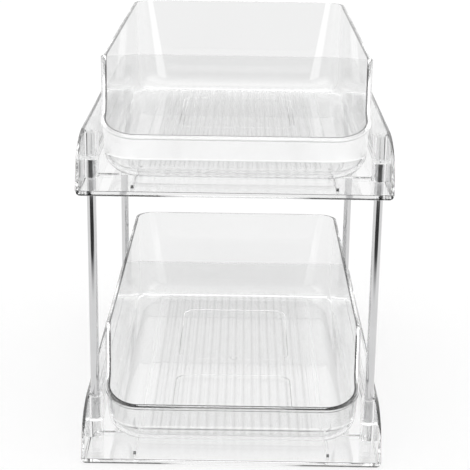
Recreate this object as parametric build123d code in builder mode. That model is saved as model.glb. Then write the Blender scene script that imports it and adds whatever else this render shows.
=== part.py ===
from build123d import *
from math import radians, tan
import os

# Two-tier organizer of clear moulded trays and drawers on four metal posts.
# The front faces -Y. The origin is on the ground, in the middle of the whole object.
# Depths are measured backwards from the trays' front edge, heights upwards from a tray's base.

overrun = 5

# Tray
tray_width = 216
tray_depth = 350
tray_height = 37
tray_wall = 2.4
tray_rear_radius = 20
tray_foot_radius = 3.5
apron_thickness = 3.6
apron_depth = 44
platform_rise = 1.0
platform_thickness = 2.4
platform_fillet = 2.0
skirt_width = 6
skirt_corner_radius = 14
tier_pitch = 200

# Front edge of the tray's side walls, which leans back and turns over in a quarter ellipse
cheek_setback = 1.2
cheek_lean = 3.8
cheek_bend_height = 17
cheek_shoulder_depth = 46

# Posts, and the bosses that hold them
post_diameter = 6.5
post_edge = 0.4
post_clearance = 0.1
boss_wall = 2.45
boss_drop = 1.0
post_side_inset = 6.6
post_front_inset = 40
post_rear_inset = 48
under_socket_depth = 16
socket_web = 2.4
mouth_chamfer = 0.6

# Drawer, which passes between the bosses
boss_passage = 1.6
drawer_height = 81.4
drawer_wall = 2.6
drawer_floor = 2.6
drawer_front_inset = 14
rear_clearance = 0.6
side_draft = 2.0
rear_draft = 4.2
front_draft = 4.0
corner_rim_radius = 17
corner_foot_radius = 30
cove_radius = 16.6

# Scooped front of the drawer
front_height = 34
rim_tilt = 20
scoop_slope = 68
scoop_depth = 46
scoop_radius = 16
shoulder_radius = 8
lip_width = 1.2
lip_height = 2.0

# Runners under the drawer, and the rails that guide them
runner_height = 1.6
runner_width = 2.0
runner_side_margin = 6.6
runner_front_inset = 33.5
runner_rear_inset = 36
rail_clearance = 1.0
rail_width = 2.0
rail_height = 2.0
rail_front_inset = 8
rail_rear_inset = 10

# Fluted floor of the drawer, with two shallow pads and the moulding mark on its underside
rib_pitch = 6.9
rib_width = 4.6
rib_height = 0.6
rib_side_margin = 4
rib_front_margin = 12
rib_rear_margin = 1
pad_side_margin = 21
pad_corner_radius = 12
pad_recess = 0.6
pad_rear_margin = 49
rear_pad_length = 118
pad_gap = 33
front_pad_length = 77
mark_diameter = 6
mark_height = 0.4

# Heights and radii that follow from the tray
platform_top = apron_thickness + platform_rise
recess_top = platform_top - platform_thickness
boss_top = tray_height - boss_drop
bore_radius = post_diameter / 2 + post_clearance
boss_radius = bore_radius + boss_wall
web_top = under_socket_depth + socket_web
rail_top = apron_thickness + rail_height

# Heights and widths that follow from the drawer
drawer_foot = platform_top + runner_height
drawer_top = platform_top + drawer_height
floor_top = drawer_foot + drawer_floor
rim_height = platform_top + front_height
post_x = tray_width / 2 - post_side_inset
drawer_width = 2 * (post_x - boss_radius - boss_passage)
foot_half_width = drawer_width / 2 - (drawer_top - drawer_foot) * tan(radians(side_draft))

# The drawer's back leans out over the tray's rear wall, and clears its top edge
tray_rear_inner = tray_depth - tray_wall
drawer_rear = tray_rear_inner - rear_clearance
drawer_rear_top = drawer_rear + (drawer_top - tray_height) * tan(radians(rear_draft))
overall_depth = max(tray_depth, drawer_rear_top)


def at_depth(depth):
    return depth - overall_depth / 2


# Places of the posts, the rails and the runners
post_front_y = at_depth(post_front_inset)
post_rear_y = at_depth(tray_depth - post_rear_inset)
post_places = {
    "post_front_left": (-post_x, post_front_y),
    "post_front_right": (post_x, post_front_y),
    "post_rear_left": (-post_x, post_rear_y),
    "post_rear_right": (post_x, post_rear_y),
}
runner_x = foot_half_width - cove_radius - runner_side_margin - runner_width / 2
rail_x = runner_x + runner_width / 2 + rail_clearance + rail_width / 2
rib_count = int(2 * (runner_x - rib_side_margin) / rib_pitch)
pad_width = 2 * (runner_x - pad_side_margin)


# Cavity of a tray: the space inside its walls, less the corner bosses
cavity_x = tray_width / 2 - tray_wall
cavity_front = at_depth(-overrun)
cavity_rear = at_depth(tray_rear_inner)
with BuildPart() as tray_cavity:
    with BuildSketch(Plane.XY.offset(platform_top)):
        with Locations((0, (cavity_front + cavity_rear) / 2)):
            Rectangle(2 * cavity_x, cavity_rear - cavity_front)
        fillet(vertices().group_by(Axis.Y)[-1], tray_rear_radius - tray_wall)
    extrude(amount=tray_height)
    floor_edges = faces().sort_by(Axis.Z)[0].edges().sort_by(Axis.Y)
    fillet(floor_edges[1:], platform_fillet)
    # Lower space over the apron, in front of the platform
    with BuildSketch(Plane.XY.offset(apron_thickness)):
        with Locations((0, (cavity_front + at_depth(apron_depth)) / 2)):
            Rectangle(2 * cavity_x, at_depth(apron_depth) - cavity_front)
    extrude(amount=platform_rise + platform_fillet)
    with BuildSketch():
        with Locations(*post_places.values()):
            Circle(boss_radius)
    extrude(amount=boss_top, mode=Mode.SUBTRACT)

# Hollow underside of a tray, behind the apron and inside the skirt
recess_x = tray_width / 2 - skirt_width
recess_front = at_depth(apron_depth + platform_thickness)
recess_rear = at_depth(tray_depth - skirt_width)
with BuildPart() as tray_recess:
    with BuildSketch(Plane.XY.offset(-overrun)):
        with Locations((0, (recess_front + recess_rear) / 2)):
            Rectangle(2 * recess_x, recess_rear - recess_front)
        fillet(vertices().group_by(Axis.Y)[-1], skirt_corner_radius)
    extrude(amount=overrun + recess_top)
    with BuildSketch(Plane.XY.offset(-overrun)):
        with Locations(*post_places.values()):
            Circle(boss_radius)
    extrude(amount=overrun + recess_top, mode=Mode.SUBTRACT)

# Lower tray
with BuildPart() as lower_tray:
    with BuildSketch():
        with Locations((0, at_depth(tray_depth / 2))):
            Rectangle(tray_width, tray_depth)
        fillet(vertices().group_by(Axis.Y)[-1], tray_rear_radius)
    extrude(amount=tray_height)
    foot_edges = faces().sort_by(Axis.Z)[0].edges().sort_by(Axis.Y)
    fillet(foot_edges[1:], tray_foot_radius)
    add(tray_cavity.part, mode=Mode.SUBTRACT)
    add(tray_recess.part, mode=Mode.SUBTRACT)

    # Front edge of the side walls
    cheek_foot = (at_depth(cheek_setback), apron_thickness)
    cheek_bend = (at_depth(cheek_setback + cheek_lean), cheek_bend_height)
    cheek_shoulder = (at_depth(cheek_shoulder_depth), tray_height)
    ellipse_centre = (at_depth(cheek_shoulder_depth), cheek_bend_height)
    ellipse_depth = cheek_shoulder_depth - cheek_setback - cheek_lean
    ellipse_height = tray_height - cheek_bend_height
    with BuildSketch(Plane.YZ):
        with BuildLine():
            Line(cheek_foot, cheek_bend)
            EllipticalCenterArc(ellipse_centre, ellipse_depth, ellipse_height, start_angle=90)
            Polyline(
                cheek_shoulder,
                (at_depth(cheek_shoulder_depth), tray_height + overrun),
                (cavity_front, tray_height + overrun),
                (cavity_front, apron_thickness),
                cheek_foot,
            )
        make_face()
    extrude(amount=tray_width, both=True, mode=Mode.SUBTRACT)

    # Guide rails on the floor
    rail_front = at_depth(rail_front_inset)
    rail_rear = at_depth(tray_rear_inner - rail_rear_inset)
    with BuildSketch(Plane.XY.offset(recess_top)):
        with Locations((-rail_x, (rail_front + rail_rear) / 2), (rail_x, (rail_front + rail_rear) / 2)):
            Rectangle(rail_width, rail_rear - rail_front)
    extrude(amount=rail_top - recess_top)

    # Sockets: one from above and one from below in each boss, with a web between them
    for place in post_places.values():
        with BuildSketch(Plane.XY.offset(web_top)):
            with Locations(place):
                Circle(bore_radius)
        extrude(amount=boss_top - web_top + overrun, mode=Mode.SUBTRACT)
        with BuildSketch(Plane.XY.offset(-overrun)):
            with Locations(place):
                Circle(bore_radius)
        extrude(amount=overrun + under_socket_depth, mode=Mode.SUBTRACT)
        with Locations((*place, boss_top - mouth_chamfer / 2)):
            Cone(bore_radius, bore_radius + mouth_chamfer, mouth_chamfer, mode=Mode.SUBTRACT)
        with Locations((*place, mouth_chamfer / 2)):
            Cone(bore_radius + mouth_chamfer, bore_radius, mouth_chamfer, mode=Mode.SUBTRACT)
lower_tray.part.label = "lower_tray"

# Upper tray, the same moulding one tier up
with BuildPart() as upper_tray:
    with Locations((0, 0, tier_pitch)):
        add(lower_tray.part)
upper_tray.part.label = "upper_tray"


def drawer_section(height, inset):
    # Rounded rectangle of the drawer's body at one height, drawn in by inset
    front = drawer_front_inset + (rim_height - height) * tan(radians(front_draft)) + inset
    rear = drawer_rear + (height - tray_height) * tan(radians(rear_draft)) - inset
    width = drawer_width - 2 * (drawer_top - height) * tan(radians(side_draft)) - 2 * inset
    foot_share = (drawer_top - height) / (drawer_top - drawer_foot)
    corner = corner_rim_radius + (corner_foot_radius - corner_rim_radius) * foot_share - inset
    with BuildSketch(Plane.XY.offset(height)) as section:
        with Locations((0, at_depth((front + rear) / 2))):
            RectangleRounded(width, rear - front, corner)
    return section.sketch


def drawer_body(foot, inset):
    # Drafted block with rounded corners and a coved foot, a little taller than the drawer
    with BuildPart() as body:
        add(drawer_section(foot, inset))
        add(drawer_section(drawer_top + overrun, inset))
        loft()
        fillet(faces().sort_by(Axis.Z)[0].edges(), cove_radius - inset)
    return body.part


# Rim line of the drawer from the side: tilted front lip, scoop, shoulder and level top
tilt = tan(radians(rim_tilt))
steepness = tan(radians(scoop_slope))
shoulder_depth = drawer_front_inset + scoop_depth
scoop_run = (scoop_depth * steepness - drawer_top + rim_height) / (steepness - tilt)
scoop_corner = (drawer_front_inset + scoop_run, rim_height + scoop_run * tilt)
lip_corner = (-overrun, rim_height - (drawer_front_inset + overrun) * tilt)
rim_line = [lip_corner, scoop_corner, (shoulder_depth, drawer_top), (overall_depth + overrun, drawer_top)]


def above_rim(shift):
    # Everything above the rim line, moved backwards and down by shift
    points = [(at_depth(depth + shift), height - shift) for depth, height in rim_line]
    ceiling = drawer_top + 2 * overrun
    with BuildPart() as region:
        with BuildSketch(Plane.YZ):
            with BuildLine():
                FilletPolyline(*points, radius=[scoop_radius, shoulder_radius])
                Polyline(points[-1], (points[-1][0], ceiling), (points[0][0], ceiling), points[0])
            make_face()
        extrude(amount=drawer_width, both=True)
    return region.part


# Lip that stands out round the scooped front, from one shoulder to the other
with BuildPart() as drawer_lip:
    add(drawer_body(drawer_foot, -lip_width))
    add(above_rim(lip_height / (1 + tilt)), mode=Mode.INTERSECT)
    with BuildSketch():
        with Locations((0, at_depth(shoulder_depth / 2 - overrun))):
            Rectangle(2 * drawer_width, shoulder_depth + 2 * overrun)
    extrude(amount=drawer_top + 2 * overrun, mode=Mode.INTERSECT)

# Lower drawer
with BuildPart() as lower_drawer:
    add(drawer_body(drawer_foot, 0))
    add(drawer_lip.part)
    add(drawer_body(floor_top, drawer_wall), mode=Mode.SUBTRACT)
    add(above_rim(0), mode=Mode.SUBTRACT)

    # Flutes on the floor, each a low arch in section
    floor_front = drawer_front_inset + (rim_height - floor_top) * tan(radians(front_draft))
    floor_rear = drawer_rear + (floor_top - tray_height) * tan(radians(rear_draft))
    rib_front = at_depth(floor_front + cove_radius + rib_front_margin)
    rib_rear = at_depth(floor_rear - cove_radius - rib_rear_margin)
    with BuildSketch(Plane.XZ.offset(-rib_rear)):
        for index in range(rib_count):
            rib_x = (index - (rib_count - 1) / 2) * rib_pitch
            left = (rib_x - rib_width / 2, floor_top)
            right = (rib_x + rib_width / 2, floor_top)
            with BuildLine():
                ThreePointArc(left, (rib_x, floor_top + rib_height), right)
                Polyline(right, (right[0], floor_top - rib_height), (left[0], floor_top - rib_height), left)
            make_face()
    extrude(amount=rib_rear - rib_front)

    # Runners that stand on the tray
    runner_front = at_depth(drawer_front_inset + runner_front_inset)
    runner_rear = at_depth(drawer_rear - runner_rear_inset)
    runner_y = (runner_front + runner_rear) / 2
    with BuildSketch(Plane.XY.offset(platform_top)):
        with Locations((-runner_x, runner_y), (runner_x, runner_y)):
            Rectangle(runner_width, runner_rear - runner_front)
    extrude(amount=runner_height + drawer_floor / 2)

    # Pads and the moulding mark on the underside
    pad_rear = floor_rear - pad_rear_margin
    rear_pad_y = at_depth(pad_rear - rear_pad_length / 2)
    front_pad_y = at_depth(pad_rear - rear_pad_length - pad_gap - front_pad_length / 2)
    with BuildSketch(Plane.XY.offset(platform_top)):
        with Locations((0, rear_pad_y)):
            RectangleRounded(pad_width, rear_pad_length, pad_corner_radius)
        with Locations((0, front_pad_y)):
            RectangleRounded(pad_width, front_pad_length, pad_corner_radius)
    extrude(amount=runner_height + pad_recess, mode=Mode.SUBTRACT)
    with BuildSketch(Plane.XY.offset(drawer_foot - mark_height)):
        with Locations((0, at_depth((floor_front + floor_rear) / 2))):
            Circle(mark_diameter / 2)
    extrude(amount=mark_height + drawer_floor / 2)
lower_drawer.part.label = "lower_drawer"

# Upper drawer, the same moulding one tier up
with BuildPart() as upper_drawer:
    with Locations((0, 0, tier_pitch)):
        add(lower_drawer.part)
upper_drawer.part.label = "upper_drawer"

# Posts, each from the web of a lower socket to the web of an upper one
os.makedirs("parts", exist_ok=True)
post_length = tier_pitch + under_socket_depth - web_top
for post_name, place in post_places.items():
    with BuildPart() as post:
        with BuildSketch(Plane.XY.offset(web_top)):
            with Locations(place):
                Circle(post_diameter / 2)
        extrude(amount=post_length)
        chamfer(edges().filter_by(GeomType.CIRCLE), post_edge)
    post.part.label = post_name
    export_step(post.part, "parts/" + post_name + ".step")

export_step(lower_tray.part, "parts/lower_tray.step")
export_step(upper_tray.part, "parts/upper_tray.step")
export_step(lower_drawer.part, "parts/lower_drawer.step")
export_step(upper_drawer.part, "parts/upper_drawer.step")

print("overall", tray_width, round(overall_depth, 2), tier_pitch + drawer_top)
print("post length", post_length)
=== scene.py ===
from math import cos, pi, radians, sin, tan
import bmesh
import bpy
from mathutils import Matrix, Vector


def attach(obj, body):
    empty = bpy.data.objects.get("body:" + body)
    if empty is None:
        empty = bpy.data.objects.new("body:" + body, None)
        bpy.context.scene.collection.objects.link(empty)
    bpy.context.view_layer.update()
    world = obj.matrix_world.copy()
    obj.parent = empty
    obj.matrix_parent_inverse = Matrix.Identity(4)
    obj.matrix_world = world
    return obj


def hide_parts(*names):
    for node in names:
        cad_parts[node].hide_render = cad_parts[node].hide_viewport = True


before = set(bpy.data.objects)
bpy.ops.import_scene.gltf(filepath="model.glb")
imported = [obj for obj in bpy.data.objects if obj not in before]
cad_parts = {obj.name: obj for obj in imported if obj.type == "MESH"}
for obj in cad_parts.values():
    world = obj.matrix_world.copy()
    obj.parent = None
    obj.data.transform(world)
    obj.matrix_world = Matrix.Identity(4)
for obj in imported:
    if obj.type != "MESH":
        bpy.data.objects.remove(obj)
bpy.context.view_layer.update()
scene = bpy.context.scene
middle = 175.299  # depth of the object's middle behind the trays' front edge, in millimetres
tierPitch = 200  # height of the upper tier above the lower one
past = 5  # how far a cutting block runs past what it cuts
pastSides = 130  # half width of the blocks that cut right across a piece
smoothAngle = 28  # faces that meet at a smaller angle are shaded as one


def at(x, depth, z):
    # Millimetres from the trays' front edge and the ground to the frame's metres
    return Vector((x, depth - middle, z)) / 1000


def alongAt(depth):
    return at(0, depth, 0).y


def atHeight(points, height):
    # Whether they all lie at one height in millimetres
    return all(abs(point.z - height / 1000) < 1e-5 for point in points)


def aheadOf(points, depth):
    # Whether they all lie at this depth or in front of it
    return all(point.y < alongAt(depth) + 1e-5 for point in points)


def upright(points):
    # Whether an edge climbs
    return abs(points[0].z - points[1].z) > 1e-4


def selectOnly(piece):
    bpy.ops.object.select_all(action="DESELECT")
    piece.select_set(True)
    bpy.context.view_layer.objects.active = piece


def pickParts(piece, kind, rule):
    # Opens the piece in edit mode with the parts that the rule accepts selected
    selectOnly(piece)
    bpy.ops.object.mode_set(mode="EDIT")
    bpy.ops.mesh.select_mode(type=kind)
    bpy.ops.mesh.select_all(action="DESELECT")
    mesh = bmesh.from_edit_mesh(piece.data)
    parts = {"VERT": mesh.verts, "EDGE": mesh.edges, "FACE": mesh.faces}[kind]
    for part in parts:
        points = [part.co] if kind == "VERT" else [vert.co for vert in part.verts]
        if rule(points):
            part.select_set(True)
    bmesh.update_edit_mesh(piece.data)


def closeEdit():
    bpy.ops.object.mode_set(mode="OBJECT")


def addBlock(name, low, high):
    bpy.ops.object.select_all(action="DESELECT")
    bpy.ops.mesh.primitive_cube_add(size=1, location=(low + high) / 2)
    block = bpy.context.object
    block.name = name
    block.scale = high - low
    bpy.ops.object.transform_apply(location=True, rotation=True, scale=True)
    return block


def addRod(x, depth, radius, low, high, sides):
    bpy.ops.object.select_all(action="DESELECT")
    bpy.ops.mesh.primitive_cylinder_add(vertices=sides, radius=radius / 1000, depth=(high - low) / 1000,
                                        location=at(x, depth, (low + high) / 2))
    bpy.ops.object.transform_apply(location=True, rotation=True, scale=True)
    return bpy.context.object


def cutOff(piece, planes):
    # Cuts away what lies behind each plane and closes the cut
    pickParts(piece, "FACE", lambda points: True)
    for point, direction in planes:
        bpy.ops.mesh.select_all(action="SELECT")
        bpy.ops.mesh.bisect(plane_co=point, plane_no=direction, use_fill=True, clear_inner=True)
    closeEdit()


def roundEdges(piece, width, segments, rule):
    pickParts(piece, "EDGE", rule)
    bpy.ops.mesh.bevel(offset=width / 1000, segments=segments, affect="EDGES")
    closeEdit()


def applyStep(piece, kind, **settings):
    # Adds one modifier with its settings and applies it
    selectOnly(piece)
    bpy.ops.object.modifier_add(type=kind)
    step = piece.modifiers[-1]
    for name, value in settings.items():
        setattr(step, name, value)
    bpy.ops.object.modifier_apply(modifier=step.name)


def combine(piece, tool, operation):
    applyStep(piece, "BOOLEAN", operation=operation, solver="EXACT", object=tool)
    bpy.data.objects.remove(tool)


def thicken(piece, thickness, side):
    applyStep(piece, "SOLIDIFY", thickness=thickness / 1000, offset=side, use_even_offset=True)


def easeEdges(piece, sizes, leave=None):
    # Rounds every edge sharper than the angle, but for those that the rule leaves
    pickParts(piece, "EDGE", lambda points: False)
    bpy.ops.mesh.edges_select_sharp(sharpness=radians(sizes["easeAngle"]))
    mesh = bmesh.from_edit_mesh(piece.data)
    for edge in mesh.edges:
        if leave and edge.select and leave([vert.co for vert in edge.verts]):
            edge.select_set(False)
    bmesh.update_edit_mesh(piece.data)
    bpy.ops.mesh.bevel(offset=sizes["ease"] / 1000, segments=sizes["easeSteps"], affect="EDGES")
    closeEdit()


def smoothFaces(piece):
    # Flat faces stay truly flat, because clear plastic shows the least slope as a smear
    selectOnly(piece)
    bpy.ops.object.shade_smooth_by_angle(angle=radians(smoothAngle))
    applyStep(piece, "WEIGHTED_NORMAL", keep_sharp=True, weight=100)


# Drawer, in millimetres: a drafted tub with a coved foot, scooped at the front
drawerSizes = {
    "footHalf": 91.213, "footFront": 16.266, "footRear": 344.738, "footHeight": 6.2, "footCorner": 30,
    "topHalf": 94.0, "topFront": 10.685, "topRear": 350.598, "topHeight": 86, "topCorner": 17,
    "cove": 16.0, "wall": 2.6, "cornerSteps": 16, "coveSteps": 10,
    "lipFront": 14, "lipHeight": 38.6, "lipTilt": 20, "scoopSlope": 68, "scoopDepth": 60, "scoopRound": 7.1,
    "scoopSteps": 8, "cutterFront": -60, "cutterRear": 110, "cutterTop": 160,
    "shoulderRound": 5.4, "shoulderSteps": 6, "lipOut": 1.2, "lipRoot": 1.0, "lipDrop": 1.466, "lipEnd": 85.6,
    "ribPitch": 6.9, "ribWidth": 4.6, "ribHeight": 0.27, "ribRoot": 0.8, "ribSides": 96, "ribTaper": 8,
    "ribCount": 18, "ribFront": 45.0, "ribRear": 328.4,
    "runnerX": 67.0, "runnerWidth": 2.0, "runnerFront": 47.5, "runnerRear": 311, "runnerLow": 4.63,
    "runnerRound": 0.12,
    "padHalf": 46, "padCorner": 12, "padSteps": 8, "padLow": 4, "padDepth": 0.6,
    "pads": ((68, 145), (178, 296)),
    "markDepth": 180.5, "markRadius": 3.0, "markLow": 5.8, "markHigh": 7.8, "markSides": 24,
    "ease": 0.4, "easeSteps": 3, "easeAngle": 40,
}


def makeTub(sizes):
    front, rear, foot, top = (sizes[key] for key in ("footFront", "footRear", "footHeight", "topHeight"))
    centre = at(0, (front + rear) / 2, foot)
    bpy.ops.object.select_all(action="DESELECT")
    bpy.ops.mesh.primitive_plane_add(size=1, location=centre)
    tub = bpy.context.object
    tub.scale = (sizes["footHalf"] / 500, (rear - front) / 1000, 1)
    bpy.ops.object.transform_apply(location=True, rotation=True, scale=True)
    bpy.ops.object.mode_set(mode="EDIT")
    bpy.ops.mesh.select_all(action="SELECT")
    bpy.ops.mesh.bevel(offset=sizes["footCorner"] / 1000, segments=sizes["cornerSteps"], affect="VERTICES")
    bpy.ops.mesh.select_all(action="SELECT")
    bpy.ops.mesh.extrude_region_move(TRANSFORM_OT_translate={"value": (0, 0, (top - foot) / 1000)})
    across = sizes["topHalf"] / sizes["footHalf"]
    along = (sizes["topRear"] - sizes["topFront"]) / (rear - front)
    shift = (sizes["topRear"] + sizes["topFront"] - rear - front) / 2000
    bpy.ops.transform.resize(value=(across, along, 1), center_override=centre)
    bpy.ops.transform.translate(value=(0, shift, 0))
    closeEdit()
    # Each rim corner is drawn in towards the corner of its rectangle
    ratio = sizes["topCorner"] / sizes["footCorner"]
    reach = sizes["footCorner"] / 1000 * 1.05  # just past the rounding
    for side in (-1, 1):
        for depth in (sizes["topFront"], sizes["topRear"]):
            corner = at(side * sizes["topHalf"], depth, top)
            pickParts(tub, "VERT", lambda points: abs(points[0].z - corner.z) < 1e-4
                      and abs(points[0].x - corner.x) < reach and abs(points[0].y - corner.y) < reach)
            bpy.ops.transform.resize(value=(ratio / across, ratio / along, 1), center_override=corner)
            closeEdit()
    roundEdges(tub, sizes["cove"], sizes["coveSteps"], lambda points: atHeight(points, foot))
    pickParts(tub, "FACE", lambda points: True)
    bpy.ops.mesh.normals_make_consistent(inside=False)
    closeEdit()
    pickParts(tub, "FACE", lambda points: atHeight(points, top))
    bpy.ops.mesh.delete(type="ONLY_FACE")
    closeEdit()
    return tub


def makeScoop(sizes, shift):
    # Everything above the rim line in front of the shoulder, as a block cut along two planes
    front, lift = sizes["lipFront"], sizes["lipHeight"]
    tilt, slope = radians(sizes["lipTilt"]), radians(sizes["scoopSlope"])
    scoop = addBlock("scoop", at(-pastSides, sizes["cutterFront"], 0),
                     at(pastSides, sizes["cutterRear"], sizes["cutterTop"]))
    lipPoint = at(0, front + shift, lift - shift)
    slopePoint = at(0, sizes["scoopDepth"] + shift, sizes["topHeight"] - shift)
    cutOff(scoop, ((lipPoint, (0, -sin(tilt), cos(tilt))), (slopePoint, (0, -sin(slope), cos(slope)))))
    run = ((sizes["scoopDepth"] - front) * tan(slope) - sizes["topHeight"] + lift) / (tan(slope) - tan(tilt))
    corner = at(0, front + run + shift, lift + run * tan(tilt) - shift)
    roundEdges(scoop, sizes["scoopRound"], sizes["scoopSteps"],
               lambda points: all((point - corner).yz.length < 1e-3 for point in points))
    return scoop


def makeRibs(sizes, base):
    # One low arch with tapered ends, copied across the floor
    front, rear, rise, width = (sizes[key] for key in ("ribFront", "ribRear", "ribHeight", "ribWidth"))
    radius = (width * width / 4 + rise * rise) / (2 * rise)
    firstX = -(sizes["ribCount"] - 1) / 2 * sizes["ribPitch"]
    bpy.ops.object.select_all(action="DESELECT")
    bpy.ops.mesh.primitive_cylinder_add(
        vertices=sizes["ribSides"], radius=radius / 1000, depth=(rear - front) / 1000,
        location=at(firstX, (front + rear) / 2, base + rise - radius), rotation=(radians(90), 0, 0))
    ribs = bpy.context.object
    bpy.ops.object.transform_apply(location=True, rotation=True, scale=True)
    taper = radians(sizes["ribTaper"])
    cutOff(ribs, ((at(0, 0, base - sizes["ribRoot"]), (0, 0, 1)),
                  (at(0, front, base), (0, sin(taper), -cos(taper))),
                  (at(0, rear, base), (0, -sin(taper), -cos(taper)))))
    applyStep(ribs, "ARRAY", count=sizes["ribCount"], use_relative_offset=False, use_constant_offset=True,
              constant_offset_displace=(sizes["ribPitch"] / 1000, 0, 0))
    return ribs


def makeDrawer(sizes):
    foot, top, wall = sizes["footHeight"], sizes["topHeight"], sizes["wall"]
    drawer = makeTub(sizes)
    drawer.name = "drawerShape"
    thicken(drawer, wall, -1)
    # The rim leans with the walls and is pressed level again
    pickParts(drawer, "VERT", lambda points: points[0].z > (top - 1) / 1000)
    bpy.ops.transform.resize(value=(1, 1, 0), center_override=at(0, 0, top))
    closeEdit()
    # Lip that stands out round the scoop, between the rim line and a line below it
    lip = makeTub(sizes)
    lipWall = sizes["lipOut"] + sizes["lipRoot"]
    thicken(lip, lipWall, 2 * sizes["lipOut"] / lipWall - 1)
    combine(lip, makeScoop(sizes, sizes["lipDrop"]), "INTERSECT")
    lipBlock = addBlock("lipBlock", at(-pastSides, sizes["cutterFront"], 0),
                        at(pastSides, sizes["scoopDepth"], sizes["lipEnd"]))
    combine(lip, lipBlock, "INTERSECT")
    combine(drawer, lip, "UNION")
    combine(drawer, makeScoop(sizes, 0), "DIFFERENCE")
    shoulder = at(0, sizes["scoopDepth"], top)
    roundEdges(drawer, sizes["shoulderRound"], sizes["shoulderSteps"], lambda points: all(
        abs(point.y - shoulder.y) < 3e-4 and abs(point.z - shoulder.z) < 3e-4 for point in points))
    combine(drawer, makeRibs(sizes, foot + wall), "UNION")
    for side in (-1, 1):
        x, half = side * sizes["runnerX"], sizes["runnerWidth"] / 2
        runner = addBlock("runner", at(x - half, sizes["runnerFront"], sizes["runnerLow"]),
                          at(x + half, sizes["runnerRear"], foot + wall / 2))
        roundEdges(runner, sizes["runnerRound"], 1, lambda points: atHeight(points, sizes["runnerLow"]))
        combine(drawer, runner, "UNION")
    for front, rear in sizes["pads"]:
        pad = addBlock("pad", at(-sizes["padHalf"], front, sizes["padLow"]),
                       at(sizes["padHalf"], rear, foot + sizes["padDepth"]))
        roundEdges(pad, sizes["padCorner"], sizes["padSteps"], upright)
        combine(drawer, pad, "DIFFERENCE")
    mark = addRod(0, sizes["markDepth"], sizes["markRadius"], sizes["markLow"], sizes["markHigh"],
                  sizes["markSides"])
    combine(drawer, mark, "UNION")
    runnerX, rise = sizes["runnerX"] / 1000, sizes["ribHeight"]

    def leave(points):
        # Edges of the runners and the flutes, where the rounding would catch slivers
        runner = all(point.z < foot / 1000 + 1e-4 and abs(abs(point.x) - runnerX) < 2e-3 for point in points)
        return runner or all(abs(point.z - (foot + wall + rise / 2) / 1000) < rise / 1000 for point in points)

    easeEdges(drawer, sizes, leave)
    smoothFaces(drawer)
    return drawer


# Tray, in millimetres: a flat platform behind a lower apron, inside low walls with four post bosses
traySizes = {
    "half": 108, "depth": 350, "height": 37, "wall": 2.4, "rearCorner": 20, "rearSteps": 14,
    "footRound": 3.5, "footSteps": 5, "frontRound": 1.0, "frontSteps": 4,
    "apron": 3.6, "apronDepth": 44, "apronOverlap": 3,
    "platform": 4.6, "platformRound": 2.0, "platformSteps": 4,
    "recessTop": 2.2, "skirt": 6, "skirtCorner": 14, "skirtSteps": 10,
    "cheekFoot": 1.2, "cheekBend": 5.0, "cheekGap": 0.05, "bendHeight": 17, "shoulder": 46,
    "ovalSides": 72, "ovalLength": 300,
    "bossRadius": 5.8, "bossHeight": 36, "boreRadius": 3.35, "bossSides": 40,
    "underSocket": 16, "topSocket": 18.4, "mouth": 0.6,
    "railX": 70.013, "railWidth": 2.0, "railFront": 8, "railRear": 337.6, "railTop": 5.6,
    "ease": 0.3, "easeSteps": 2, "easeAngle": 40,
}
postPlaces = {"front_left": (-101.4, 40), "front_right": (101.4, 40),
              "rear_left": (-101.4, 302), "rear_right": (101.4, 302)}


def makeHollows(sizes):
    # Room between the walls and recess under the platform, both without the bosses
    half, rear, wall, skirt = sizes["half"], sizes["depth"], sizes["wall"], sizes["skirt"]
    platform, radius, sides = sizes["platform"], sizes["bossRadius"], sizes["bossSides"]
    inside = addBlock("inside", at(wall - half, -past, platform),
                      at(half - wall, rear - wall, sizes["height"] + past))
    roundEdges(inside, sizes["rearCorner"] - wall, sizes["rearSteps"],
               lambda points: upright(points) and points[0].y > 0)
    roundEdges(inside, sizes["platformRound"], sizes["platformSteps"],
               lambda points: atHeight(points, platform) and not aheadOf(points, -past))
    overApron = addBlock("overApron", at(wall - half, -past, sizes["apron"]),
                         at(half - wall, sizes["apronDepth"], platform + sizes["apronOverlap"]))
    combine(inside, overApron, "UNION")
    under = addBlock("under", at(skirt - half, sizes["apronDepth"] + wall, -past),
                     at(half - skirt, rear - skirt, sizes["recessTop"]))
    roundEdges(under, sizes["skirtCorner"], sizes["skirtSteps"],
               lambda points: upright(points) and points[0].y > 0)
    for x, depth in postPlaces.values():
        combine(inside, addRod(x, depth, radius, 0, sizes["bossHeight"], sides), "DIFFERENCE")
        combine(under, addRod(x, depth, radius, -past - 1, sizes["bossHeight"], sides), "DIFFERENCE")
    return inside, under


def makeCheekCutters(sizes):
    # What is cut off the side walls, which lean back at the front and turn over in a quarter ellipse
    shoulder, bend, height = sizes["shoulder"], sizes["bendHeight"], sizes["height"]
    above = addBlock("above", at(-pastSides, -2 * past, bend), at(pastSides, shoulder, height + 2 * past))
    bpy.ops.object.select_all(action="DESELECT")
    bpy.ops.mesh.primitive_cylinder_add(
        vertices=sizes["ovalSides"], radius=1 / 1000, depth=sizes["ovalLength"] / 1000,
        location=at(0, shoulder, bend), rotation=(0, radians(90), 0))
    oval = bpy.context.object
    oval.scale = (height - bend, shoulder - sizes["cheekBend"], 1)  # both half axes of the ellipse
    bpy.ops.object.transform_apply(location=True, rotation=True, scale=True)
    combine(above, oval, "DIFFERENCE")
    low = sizes["apron"] + sizes["cheekGap"]
    ahead = addBlock("ahead", at(-pastSides, -2 * past, low), at(pastSides, sizes["cheekBend"], bend))
    pickParts(ahead, "EDGE", lambda points: atHeight(points, low)
              and all(point.y > alongAt(0) for point in points))
    bpy.ops.transform.translate(value=(0, (sizes["cheekFoot"] - sizes["cheekBend"]) / 1000, 0))
    closeEdit()
    return above, ahead


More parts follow.
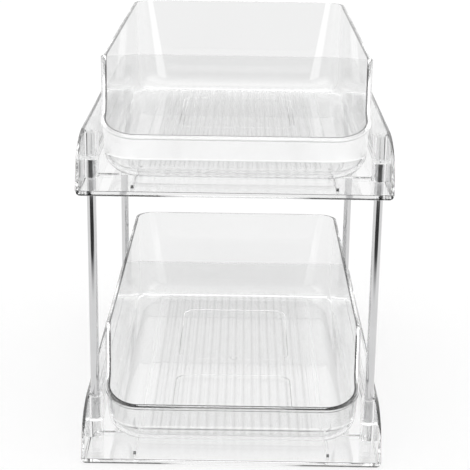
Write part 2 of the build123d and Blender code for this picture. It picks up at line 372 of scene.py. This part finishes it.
def makeTray(sizes):
    half, rear, height = sizes["half"], sizes["depth"], sizes["height"]
    tray = addBlock("trayShape", at(-half, 0, 0), at(half, rear, height))
    roundEdges(tray, sizes["rearCorner"], sizes["rearSteps"],
               lambda points: upright(points) and points[0].y > 0)
    roundEdges(tray, sizes["footRound"], sizes["footSteps"],
               lambda points: atHeight(points, 0) and not aheadOf(points, 0))
    roundEdges(tray, sizes["frontRound"], sizes["frontSteps"],
               lambda points: atHeight(points, 0) and aheadOf(points, 0))
    for cutter in (*makeHollows(sizes), *makeCheekCutters(sizes)):
        combine(tray, cutter, "DIFFERENCE")
    for side in (-1, 1):
        x, halfRail = side * sizes["railX"], sizes["railWidth"] / 2
        rail = addBlock("rail", at(x - halfRail, sizes["railFront"], sizes["recessTop"]),
                        at(x + halfRail, sizes["railRear"], sizes["railTop"]))
        combine(tray, rail, "UNION")
    bore, sides = sizes["boreRadius"], sizes["bossSides"]
    for x, depth in postPlaces.values():
        combine(tray, addRod(x, depth, bore, sizes["topSocket"], height + past, sides), "DIFFERENCE")
        combine(tray, addRod(x, depth, bore, -past, sizes["underSocket"], sides), "DIFFERENCE")
        for mouthHeight in (0, sizes["bossHeight"]):
            centre = at(x, depth, mouthHeight)
            roundEdges(tray, sizes["mouth"], 1, lambda points: all(
                (point - centre).length < (bore + 0.1) / 1000 for point in points))
    easeEdges(tray, sizes)
    smoothFaces(tray)
    return tray


# Posts, in millimetres: polished rods with eased ends and a dimple in each end
postSizes = {"radius": 3.25, "low": 18.43, "high": 215.97, "sides": 64, "edge": 0.4, "edgeSteps": 3,
             "dimple": 1.6, "dimpleDepth": 0.5}


def makePost(sizes, x, depth):
    post = addRod(x, depth, sizes["radius"], sizes["low"], sizes["high"], sizes["sides"])
    for end, inward in ((sizes["low"], 1), (sizes["high"], -1)):
        roundEdges(post, sizes["edge"], sizes["edgeSteps"], lambda points: atHeight(points, end))
        pickParts(post, "FACE", lambda points: atHeight(points, end))
        bpy.ops.mesh.inset(thickness=(sizes["radius"] - sizes["edge"] - sizes["dimple"]) / 1000)
        bpy.ops.transform.translate(value=(0, 0, inward * sizes["dimpleDepth"] / 1000))
        closeEdit()
    selectOnly(post)
    bpy.ops.object.shade_smooth_by_angle(angle=radians(smoothAngle))
    return post


def raisedCopy(piece, name, rise):
    # Copies a dressed piece and raises it by the given height in millimetres
    selectOnly(piece)
    bpy.ops.object.duplicate()
    copy = bpy.context.object
    copy.name = name
    copy.location.z = rise / 1000
    bpy.ops.object.transform_apply(location=True, rotation=True, scale=True)
    return copy


# Node helpers: what goes into a node is a number, a vector, a tone or another node's output
def feed(tree, node, values):
    for name, value in values.items():
        if isinstance(value, bpy.types.NodeSocket):
            tree.links.new(value, node.inputs[name])
        else:
            node.inputs[name].default_value = value


def joinNodes(tree, kind, *sources, **settings):
    node = tree.nodes.new(kind)
    for name, value in settings.items():
        setattr(node, name, value)
    feed(tree, node, dict(enumerate(sources)))
    return node


def figure(tree, operation, *sources):
    return joinNodes(tree, "ShaderNodeMath", *sources, operation=operation).outputs[0]


def vectorFigure(tree, operation, *sources):
    node = joinNodes(tree, "ShaderNodeVectorMath", *sources, operation=operation)
    return node.outputs["Value" if operation in ("DOT_PRODUCT", "LENGTH") else "Vector"]


def product(tree, first, *others):
    for other in others:
        first = figure(tree, "MULTIPLY", first, other)
    return first


def spread(tree, source, low, high, fromLow=0.35, fromHigh=0.65):
    # Brings a range, by default the middle of a noise, to another one
    node = tree.nodes.new("ShaderNodeMapRange")
    feed(tree, node, {"Value": source, "From Min": fromLow, "From Max": fromHigh,
                      "To Min": low, "To Max": high})
    return node.outputs["Result"]


def rises(tree, source, start, full):
    return spread(tree, source, 0, 1, start, full)


def falls(tree, source, full, end):
    return spread(tree, source, 1, 0, full, end)


def splitUp(tree, vector):
    return joinNodes(tree, "ShaderNodeSeparateXYZ", vector).outputs


def toneMix(tree, factor, low, high):
    mix = tree.nodes.new("ShaderNodeMix")
    mix.data_type = "RGBA"
    low, high = ((*tone, 1) if isinstance(tone, tuple) else tone for tone in (low, high))
    feed(tree, mix, {0: factor, 6: low, 7: high})
    return mix.outputs[2]


def newMaterial(name):
    material = bpy.data.materials.new(name)
    material.use_nodes = True
    return material, material.node_tree, material.node_tree.nodes["Principled BSDF"]


def newGroup(name, inputs, outputs):
    group = bpy.data.node_groups.new(name, "ShaderNodeTree")
    for label, value in inputs.items():
        socket = group.interface.new_socket(name=label, in_out="INPUT", socket_type="NodeSocketFloat")
        socket.default_value = value
    for label in outputs:
        group.interface.new_socket(name=label, in_out="OUTPUT", socket_type="NodeSocketFloat")
    return group


def makeFineMarks():
    # Soft cloudy and hair-line marks of handling, as two masks that change over the surface
    group = newGroup("fineMarks", {"Cloud Scale": 30, "Line Scale": 400, "Line Stretch": 0.02},
                     ("Clouds", "Lines"))
    inputs, outputs = group.nodes.new("NodeGroupInput").outputs, group.nodes.new("NodeGroupOutput")
    place = joinNodes(group, "ShaderNodeTexCoord").outputs["Object"]
    stretch = joinNodes(group, "ShaderNodeCombineXYZ", 1, 1, inputs["Line Stretch"]).outputs["Vector"]
    stretched = vectorFigure(group, "MULTIPLY", place, stretch)
    for name, detail, vector in (("Cloud", 3, place), ("Line", 2, stretched)):
        noise = group.nodes.new("ShaderNodeTexNoise")
        feed(group, noise, {"Vector": vector, "Scale": inputs[name + " Scale"], "Detail": detail})
        group.links.new(noise.outputs["Fac"], outputs.inputs[name + "s"])
    return group


def makeTierPlace():
    # Where a point lies in its own tier: the upper tier's pieces count from the upper tray's underside
    group = newGroup("tierPlace", {}, ("Across", "Along", "Height", "Upper"))
    outputs = group.nodes.new("NodeGroupOutput")
    split = splitUp(group, joinNodes(group, "ShaderNodeTexCoord").outputs["Object"])
    upper = figure(group, "GREATER_THAN", split["Z"], 0.75 * tierPitch / 1000)  # a height between the tiers
    height = figure(group, "SUBTRACT", split["Z"], figure(group, "MULTIPLY", upper, tierPitch / 1000))
    feed(group, outputs, {"Across": split["X"], "Along": split["Y"], "Height": height, "Upper": upper})
    return group


# Clear plastic of the trays, with its painted shade lines and their edges in millimetres
trayClear = {
    "ior": 1.5, "tintLow": (0.905, 0.906, 0.906), "tintHigh": (0.925, 0.926, 0.926),
    "roughLow": 0.0, "roughHigh": 0.012, "cloudScale": 18,
    "footShade": (0.03, 0.03, 0.03), "footHigh": 1.2, "footFront": (1.0, 1.3), "footOut": (34, 52),
    "endShade": (0.02, 0.02, 0.02), "stripSide": (0.1, 0.3), "stripFront": (0.9, 1.2),
}
softLine = 0.2  # width over which the edge of a line fades


def lengths(values):
    # Millimetres to metres, for the limits of a mask
    return [value / 1000 for value in values]


def startClear(name, marks, places, sizes):
    # The milky tint and the roughness, which both change with the clouds of the marks
    material, tree, shader = newMaterial(name)
    feed(tree, shader, {"IOR": sizes["ior"], "Transmission Weight": 1})
    handling, place = tree.nodes.new("ShaderNodeGroup"), tree.nodes.new("ShaderNodeGroup")
    handling.node_tree, place.node_tree = marks, places
    handling.inputs["Cloud Scale"].default_value = sizes["cloudScale"]
    tone = toneMix(tree, handling.outputs["Clouds"], sizes["tintLow"], sizes["tintHigh"])
    rough = spread(tree, handling.outputs["Clouds"], sizes["roughLow"], sizes["roughHigh"])
    return material, tree, shader, place.outputs, tone, rough


def stripEnd(tree, place, sizes, x, depth, width):
    # The front end of a pair of low strips under the drawer
    away = figure(tree, "SUBTRACT", figure(tree, "ABSOLUTE", place["Across"]), x / 1000)
    away = figure(tree, "ABSOLUTE", away)
    ahead = figure(tree, "ABSOLUTE", figure(tree, "SUBTRACT", place["Along"], alongAt(depth)))
    sides = lengths(width / 2 + more for more in sizes["stripSide"])
    return product(tree, falls(tree, away, *sides), falls(tree, ahead, *lengths(sizes["stripFront"])))


def makeTrayPlastic(marks, places, sizes, shape):
    material, tree, shader, place, tone, rough = startClear("trayPlastic", marks, places, sizes)
    # Painted shade: the rounded front foot gets a dark line painted towards both corners
    low = falls(tree, place["Height"], *lengths((sizes["footHigh"], sizes["footHigh"] + softLine)))
    front = falls(tree, place["Along"], *(alongAt(depth) for depth in sizes["footFront"]))
    out = rises(tree, figure(tree, "ABSOLUTE", place["Across"]), *lengths(sizes["footOut"]))
    tone = toneMix(tree, product(tree, low, front, out), tone, sizes["footShade"])
    # Painted shade: the front ends of the rails are painted dark too, where they stand above the apron
    rails = stripEnd(tree, place, sizes, shape["railX"], shape["railFront"], shape["railWidth"])
    clear = rises(tree, place["Height"], *lengths((shape["apron"], shape["apron"] + softLine)))
    tone = toneMix(tree, product(tree, rails, clear), tone, sizes["endShade"])
    feed(tree, shader, {"Base Color": tone, "Roughness": rough})
    return material


# Clear plastic of the drawers, with its painted shade lines, painted highlights and their edges in
# millimetres
drawerClear = {
    "ior": 1.5, "tintLow": (0.875, 0.876, 0.876), "tintHigh": (0.895, 0.896, 0.896),
    "roughLow": 0.0, "roughHigh": 0.012, "cloudScale": 18, "scoopFade": 3,
    "rimShade": (0.012, 0.012, 0.012), "rimDeep": 0.9, "rimWide": 1.1,
    "sideShade": (0.06, 0.06, 0.06), "sideFade": (322, 338),
    "lipShade": (0.30, 0.30, 0.30), "lipSkin": (-1.0, -0.8), "lipBelow": (0.9, 1.1),
    "fluteShade": 0.91, "fluteField": (61.5, 63), "floorSkin": (0.4, 0.8),
    "endShade": (0.05, 0.05, 0.05), "stripSide": (0.1, 0.3), "stripFront": (0.9, 1.2),
    "facingFrom": 90, "facingOut": (0.1, 0.3),
    "bandGlow": 0.15, "bandRough": 0.25, "bandEdge": 0.3, "lineGlow": 0.10, "lineHalf": (0.3, 0.6),
    "cornerGlow": 0.07, "lowerGleam": 0.4, "gleamAlong": (120, 130),
    "gleamIn": (0.06, 0.12), "gleamOut": (0.34, 0.42), "gleamAhead": (-0.9, -0.85),
}


def depthBelowRim(tree, along, height, shape):
    # How deep a point lies below the two planes of the scooped rim
    point = joinNodes(tree, "ShaderNodeCombineXYZ", 0.0, along, height).outputs[0]
    depths = []
    for angle, corner in ((shape["lipTilt"], at(0, shape["lipFront"], shape["lipHeight"])),
                          (shape["scoopSlope"], at(0, shape["scoopDepth"], shape["topHeight"]))):
        normal = Vector((0, -sin(radians(angle)), cos(radians(angle))))
        reached = vectorFigure(tree, "DOT_PRODUCT", point, normal)
        depths.append(figure(tree, "SUBTRACT", normal.dot(corner), reached))
    return figure(tree, "MAXIMUM", *depths)


def depthInWall(tree, across, along, height, shape):
    # How deep a point lies in the wall, from the drafted outside with its rounded corners
    foot, top = shape["footHeight"], shape["topHeight"]
    rise = figure(tree, "DIVIDE", figure(tree, "SUBTRACT", height, foot / 1000), (top - foot) / 1000)

    def drafted(low, high):
        return figure(tree, "MULTIPLY_ADD", rise, (high - low) / 1000, low / 1000)

    def overCorner(distance, half):
        return figure(tree, "ADD", figure(tree, "SUBTRACT", figure(tree, "ABSOLUTE", distance), half), corner)

    corner = drafted(shape["footCorner"], shape["topCorner"])
    footFront, footRear = shape["footFront"], shape["footRear"]
    topFront, topRear = shape["topFront"], shape["topRear"]
    centre = drafted((footRear + footFront) / 2 - middle, (topRear + topFront) / 2 - middle)
    halfDepth = drafted((footRear - footFront) / 2, (topRear - topFront) / 2)
    side = overCorner(across, drafted(shape["footHalf"], shape["topHalf"]))
    end = overCorner(figure(tree, "SUBTRACT", along, centre), halfDepth)
    arc = joinNodes(tree, "ShaderNodeCombineXYZ", figure(tree, "MAXIMUM", side, 0.0),
                    figure(tree, "MAXIMUM", end, 0.0), 0.0)
    arc = vectorFigure(tree, "LENGTH", arc.outputs[0])
    straight = figure(tree, "MINIMUM", figure(tree, "MAXIMUM", side, end), 0.0)
    return figure(tree, "SUBTRACT", corner, figure(tree, "ADD", arc, straight))


def shadeDrawer(tree, place, tone, scoop, sizes, shape):
    # Painted shade laid over the milky tint: dark lines of the rims and strips, a darker lip and soft shading
    # of the fluted floor
    across, along, height = place["Across"], place["Along"], place["Height"]
    deep = depthBelowRim(tree, along, height, shape)
    within = depthInWall(tree, across, along, height, shape)
    outer = shape["wall"] - sizes["rimWide"]
    outer = rises(tree, within, *lengths((outer - softLine, outer)))
    # Painted shade: a dark line just below the scooped rim, in the outer part of the wall
    rim = falls(tree, deep, *lengths((sizes["rimDeep"], sizes["rimDeep"] + softLine)))
    rim = product(tree, rim, outer, scoop)
    # Painted shade: a dark line along the upper rim of both high sides, which fades out towards the rear
    # corners
    brim = shape["topHeight"] - sizes["rimDeep"]
    brim = rises(tree, height, *lengths((brim - softLine, brim)))
    fade = falls(tree, along, *(alongAt(depth) for depth in sizes["sideFade"]))
    brim = product(tree, brim, outer, fade, figure(tree, "SUBTRACT", 1, scoop))
    # Painted shade: the lip that stands out round the scoop is painted darker, below the rim line
    lip = product(tree, falls(tree, within, *lengths(sizes["lipSkin"])),
                  rises(tree, deep, *lengths(sizes["lipBelow"])), scoop)
    # Soft painted shading of the fluted floor, in bands across the flutes
    foot, base = shape["footHeight"], shape["footHeight"] + shape["wall"]
    wave = figure(tree, "SINE", figure(tree, "MULTIPLY", across, 2000 * pi / shape["ribPitch"]))
    field = falls(tree, figure(tree, "ABSOLUTE", across), *lengths(sizes["fluteField"]))
    level = falls(tree, height, *lengths(base + skin for skin in sizes["floorSkin"]))
    flute = product(tree, field, level, rises(tree, wave, -1, 1))
    # Painted shade: the front ends of the runners under the floor are painted dark
    runners = stripEnd(tree, place, sizes, shape["runnerX"], shape["runnerFront"], shape["runnerWidth"])
    under = falls(tree, height, *lengths(foot + skin for skin in sizes["floorSkin"]))
    runners = product(tree, runners, under)
    for mask, over in ((flute, (sizes["tintLow"][0] * sizes["fluteShade"],) * 3), (lip, sizes["lipShade"]),
                       (brim, sizes["sideShade"]), (runners, sizes["endShade"]), (rim, sizes["rimShade"])):
        tone = toneMix(tree, mask, tone, over)
    return tone


def makeDrawerPlastic(marks, places, sizes, shape):
    material, tree, shader, place, tone, rough = startClear("drawerPlastic", marks, places, sizes)
    across, along, height, upper = (place[name] for name in ("Across", "Along", "Height", "Upper"))
    normal = joinNodes(tree, "ShaderNodeTexCoord").outputs["Normal"]
    scoopDepth = shape["scoopDepth"]
    scoop = falls(tree, along, alongAt(scoopDepth - sizes["scoopFade"]), alongAt(scoopDepth))
    tone = shadeDrawer(tree, place, tone, scoop, sizes, shape)
    # Which way the surface faces, seen from an upright line in the drawer's front half: outwards is positive
    outward = figure(tree, "ADD", along, sizes["facingFrom"] / 1000)
    outward = joinNodes(tree, "ShaderNodeCombineXYZ", across, outward, 0.0).outputs[0]
    facing = vectorFigure(tree, "DOT_PRODUCT", normal, vectorFigure(tree, "NORMALIZE", outward))
    outside = rises(tree, facing, *sizes["facingOut"])
    # Painted highlight: the flat front of the upper drawer glows as a shine, down to where the rounding of
    # the foot begins, with a thin glowing line along that edge; the band is also rougher
    foot, edge = shape["footHeight"] + shape["cove"], sizes["bandEdge"]
    above = rises(tree, height, *lengths((foot - edge, foot + edge)))
    highlightBand = product(tree, above, outside, scoop, upper)
    highlightLine = figure(tree, "ABSOLUTE", figure(tree, "SUBTRACT", height, foot / 1000))
    highlightLine = product(tree, falls(tree, highlightLine, *lengths(sizes["lineHalf"])), outside, scoop)
    glow = figure(tree, "ADD", product(tree, highlightBand, sizes["bandGlow"]), product(tree, highlightLine, sizes["lineGlow"]))
    # Painted highlight: an upright glowing gleam inside both rear corners, where the rounding meets the rear
    # wall, weaker on the lower drawer
    turn = splitUp(tree, normal)
    turnAcross = figure(tree, "ABSOLUTE", turn["X"])
    gleam = product(tree, rises(tree, turnAcross, *sizes["gleamIn"]),
                    falls(tree, turnAcross, *sizes["gleamOut"]), falls(tree, turn["Y"], *sizes["gleamAhead"]),
                    rises(tree, along, *lengths(sizes["gleamAlong"])),
                    spread(tree, upper, sizes["lowerGleam"], 1, 0, 1))
    glow = figure(tree, "MULTIPLY_ADD", gleam, sizes["cornerGlow"], glow)
    rough = figure(tree, "ADD", rough, product(tree, highlightBand, sizes["bandRough"]))
    feed(tree, shader, {"Base Color": tone, "Roughness": rough,
                        "Emission Color": glow, "Emission Strength": 1})
    return material


# Polished metal of the posts; a painted dark reflection, the core, lies on the front posts, from the upper
# tray's underside up
postMetal = {
    "toneLow": (0.60, 0.60, 0.605), "toneHigh": (0.68, 0.68, 0.685), "roughLow": 0.06, "roughHigh": 0.12,
    "cloudScale": 60, "lineScale": 2500, "bump": 0.02, "bumpDistance": 0.0001,
    "coreReflection": (0.10, 0.10, 0.10), "coreAcross": (0.30, 0.45), "coreAhead": (-0.5, -0.4),
    "coreFade": 0.5, "frontPosts": (-100, -50),
}


def makeMetal(marks, sizes):
    material, tree, shader = newMaterial("polishedSteel")
    shader.inputs["Metallic"].default_value = 1
    handling = tree.nodes.new("ShaderNodeGroup")
    handling.node_tree = marks
    feed(tree, handling, {"Cloud Scale": sizes["cloudScale"], "Line Scale": sizes["lineScale"]})
    tone = toneMix(tree, handling.outputs["Clouds"], sizes["toneLow"], sizes["toneHigh"])
    # Painted reflection: the front of the end held in the upper socket is painted dark where it would mirror
    # the dark of the bore
    coordinates = joinNodes(tree, "ShaderNodeTexCoord").outputs
    place, facing = splitUp(tree, coordinates["Object"]), splitUp(tree, coordinates["Normal"])
    held = product(tree, rises(tree, place["Z"], *lengths((tierPitch - sizes["coreFade"], tierPitch))),
                   falls(tree, place["Y"], *lengths(sizes["frontPosts"])))
    darkReflection = product(tree, falls(tree, figure(tree, "ABSOLUTE", facing["X"]), *sizes["coreAcross"]),
                   falls(tree, facing["Y"], *sizes["coreAhead"]))
    tone = toneMix(tree, product(tree, darkReflection, held), tone, sizes["coreReflection"])
    rough = spread(tree, handling.outputs["Lines"], sizes["roughLow"], sizes["roughHigh"])
    bump = tree.nodes.new("ShaderNodeBump")
    feed(tree, bump, {"Strength": sizes["bump"], "Distance": sizes["bumpDistance"],
                      "Height": handling.outputs["Lines"]})
    feed(tree, shader, {"Base Color": tone, "Roughness": rough, "Normal": bump.outputs["Normal"]})
    return material


def dress(piece, material, slot, body, *nodes):
    piece.data.materials.clear()
    piece.data.materials.append(material)
    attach(piece, body)
    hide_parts(*nodes)


fineMarks = makeFineMarks()
tierPlace = makeTierPlace()
trayPlastic = makeTrayPlastic(fineMarks, tierPlace, trayClear, traySizes)
drawerPlastic = makeDrawerPlastic(fineMarks, tierPlace, drawerClear, drawerSizes)
polishedSteel = makeMetal(fineMarks, postMetal)
print("finishes done")

tray = makeTray(traySizes)
tray.name = "trayLower"
dress(tray, trayPlastic, "clear_plastic", "frame", "lower_tray")
trayUpper = raisedCopy(tray, "trayUpper", tierPitch)
dress(trayUpper, trayPlastic, "clear_plastic", "frame", "upper_tray")
print("trays done")
drawer = makeDrawer(drawerSizes)
drawer.name = "drawerLower"
dress(drawer, drawerPlastic, "clear_plastic", "lower_drawer", "lower_drawer")
drawerUpper = raisedCopy(drawer, "drawerUpper", tierPitch)
dress(drawerUpper, drawerPlastic, "clear_plastic", "upper_drawer", "upper_drawer")
print("drawers done")
for name, (x, depth) in postPlaces.items():
    post = makePost(postSizes, x, depth)
    post.name = "post_" + name + "_rod"
    dress(post, polishedSteel, "post_metal", "frame", "post_" + name)
print("posts done")

# Camera at the photograph's viewing angle; the focal length is in pixels of a picture of this width
view = {"place": (0.004268, -1.04402, 0.44643), "heading": 0.241, "down": 17.412, "roll": 0.802,
        "focal": 1335.8, "pixels": 470, "sensor": 36, "farthest": 20}
camera = bpy.data.objects.new("camera", bpy.data.cameras.new("camera"))
scene.collection.objects.link(camera)
scene.camera = camera
turn = Matrix.Rotation(radians(view["heading"]), 3, "Z") @ Matrix.Rotation(radians(90 - view["down"]), 3, "X")
turn = turn @ Matrix.Rotation(radians(view["roll"]), 3, "Z")
camera.matrix_world = Matrix.Translation(view["place"]) @ turn.to_4x4()
camera.data.sensor_width = view["sensor"]
camera.data.lens = view["focal"] * view["sensor"] / view["pixels"]
camera.data.clip_end = view["farthest"]

# Studio, in metres: a pale floor and soft light from all round. What plastic and metal mirror also has a
# grey card lying in front, a dim wall behind the camera and a bright ceiling; straight through the plastic
# the background stays white.
studio = {
    "floorSize": 12, "floorDrop": 0.0005, "floorTone": 0.85, "floorRough": 0.9,
    "floorGlow": 1.10, "glowShare": 0.68,
    "card": 0.05, "cardNear": (-0.70, -0.42), "cardFar": (-3.0, -2.5),
    "cardSpread": 0.9, "cardSide": (-0.14, 0.06),
    "walls": 1.0, "ceiling": 2.3, "ceilingFade": (0.25, 0.65),
    "front": 0.2, "frontFade": (-0.75, -0.2), "plasticLift": 0.5, "bounces": 48,
}


def mixShaders(tree, share, first, second):
    return joinNodes(tree, "ShaderNodeMixShader", share, first, second).outputs[0]


def addGlow(tree, kind, strength):
    node = tree.nodes.new(kind)
    feed(tree, node, {"Color": (1, 1, 1, 1), "Strength": strength})
    return node.outputs[0]


def hasRun(tree, path, kind):
    # Whether the light has been mirrored or has run through plastic on its way
    return figure(tree, "GREATER_THAN", path[kind + " Depth"], 0.5)


def liftInPlastic(tree, path, level, lift):
    # The dark card and wall in front are weaker for light that has run through clear plastic
    lift = product(tree, hasRun(tree, path, "Transmission"), lift)
    return figure(tree, "MULTIPLY_ADD", figure(tree, "SUBTRACT", 1, level), lift, level)


def makePaper(sizes):
    paper, tree, shader = newMaterial("paperSheet")
    feed(tree, shader, {"Base Color": (sizes["floorTone"],) * 3 + (1,), "Roughness": sizes["floorRough"]})
    path = joinNodes(tree, "ShaderNodeLightPath").outputs
    split = splitUp(tree, joinNodes(tree, "ShaderNodeTexCoord").outputs["Object"])
    near, far = falls(tree, split["Y"], *sizes["cardNear"]), rises(tree, split["Y"], *sizes["cardFar"])
    wide = figure(tree, "MULTIPLY_ADD", split["Y"], sizes["cardSpread"], figure(tree, "ABSOLUTE", split["X"]))
    card = product(tree, near, far, falls(tree, wide, *sizes["cardSide"]))
    fade = liftInPlastic(tree, path, spread(tree, card, 1, sizes["card"], 0, 1), sizes["plasticLift"])
    seen = figure(tree, "MAXIMUM", path["Is Camera Ray"], path["Is Glossy Ray"])
    seen = figure(tree, "MAXIMUM", seen, path["Is Transmission Ray"])
    plain = shader.outputs["BSDF"]
    lit = mixShaders(tree, sizes["glowShare"], plain, addGlow(tree, "ShaderNodeEmission", sizes["floorGlow"]))
    either = mixShaders(tree, hasRun(tree, path, "Glossy"), lit, addGlow(tree, "ShaderNodeEmission", fade))
    tree.links.new(mixShaders(tree, seen, plain, either), tree.nodes["Material Output"].inputs["Surface"])
    return paper


def makeRoom(sizes):
    room = bpy.data.worlds.new("studio")
    room.use_nodes = True
    tree = room.node_tree
    path = joinNodes(tree, "ShaderNodeLightPath").outputs
    split = splitUp(tree, joinNodes(tree, "ShaderNodeTexCoord").outputs["Generated"])
    level = spread(tree, split["Z"], sizes["walls"], sizes["ceiling"], *sizes["ceilingFade"])
    ahead = spread(tree, split["Y"], sizes["front"], 1, *sizes["frontFade"])
    level = product(tree, level, liftInPlastic(tree, path, ahead, sizes["plasticLift"]))
    both = mixShaders(tree, hasRun(tree, path, "Glossy"), addGlow(tree, "ShaderNodeBackground", 1.0),
                      addGlow(tree, "ShaderNodeBackground", level))
    tree.links.new(both, tree.nodes["World Output"].inputs["Surface"])
    return room


bpy.ops.object.select_all(action="DESELECT")
bpy.ops.mesh.primitive_plane_add(size=studio["floorSize"], location=(0, 0, -studio["floorDrop"]))
bpy.ops.object.transform_apply(location=True, rotation=True, scale=True)
floor = bpy.context.object
floor.name = "floor"
floor.data.materials.append(makePaper(studio))
scene.world = makeRoom(studio)
scene.view_settings.view_transform = "Standard"
scene.cycles.max_bounces = studio["bounces"]
scene.cycles.transmission_bounces = studio["bounces"]
scene.cycles.glossy_bounces = studio["bounces"]
print("studio done")
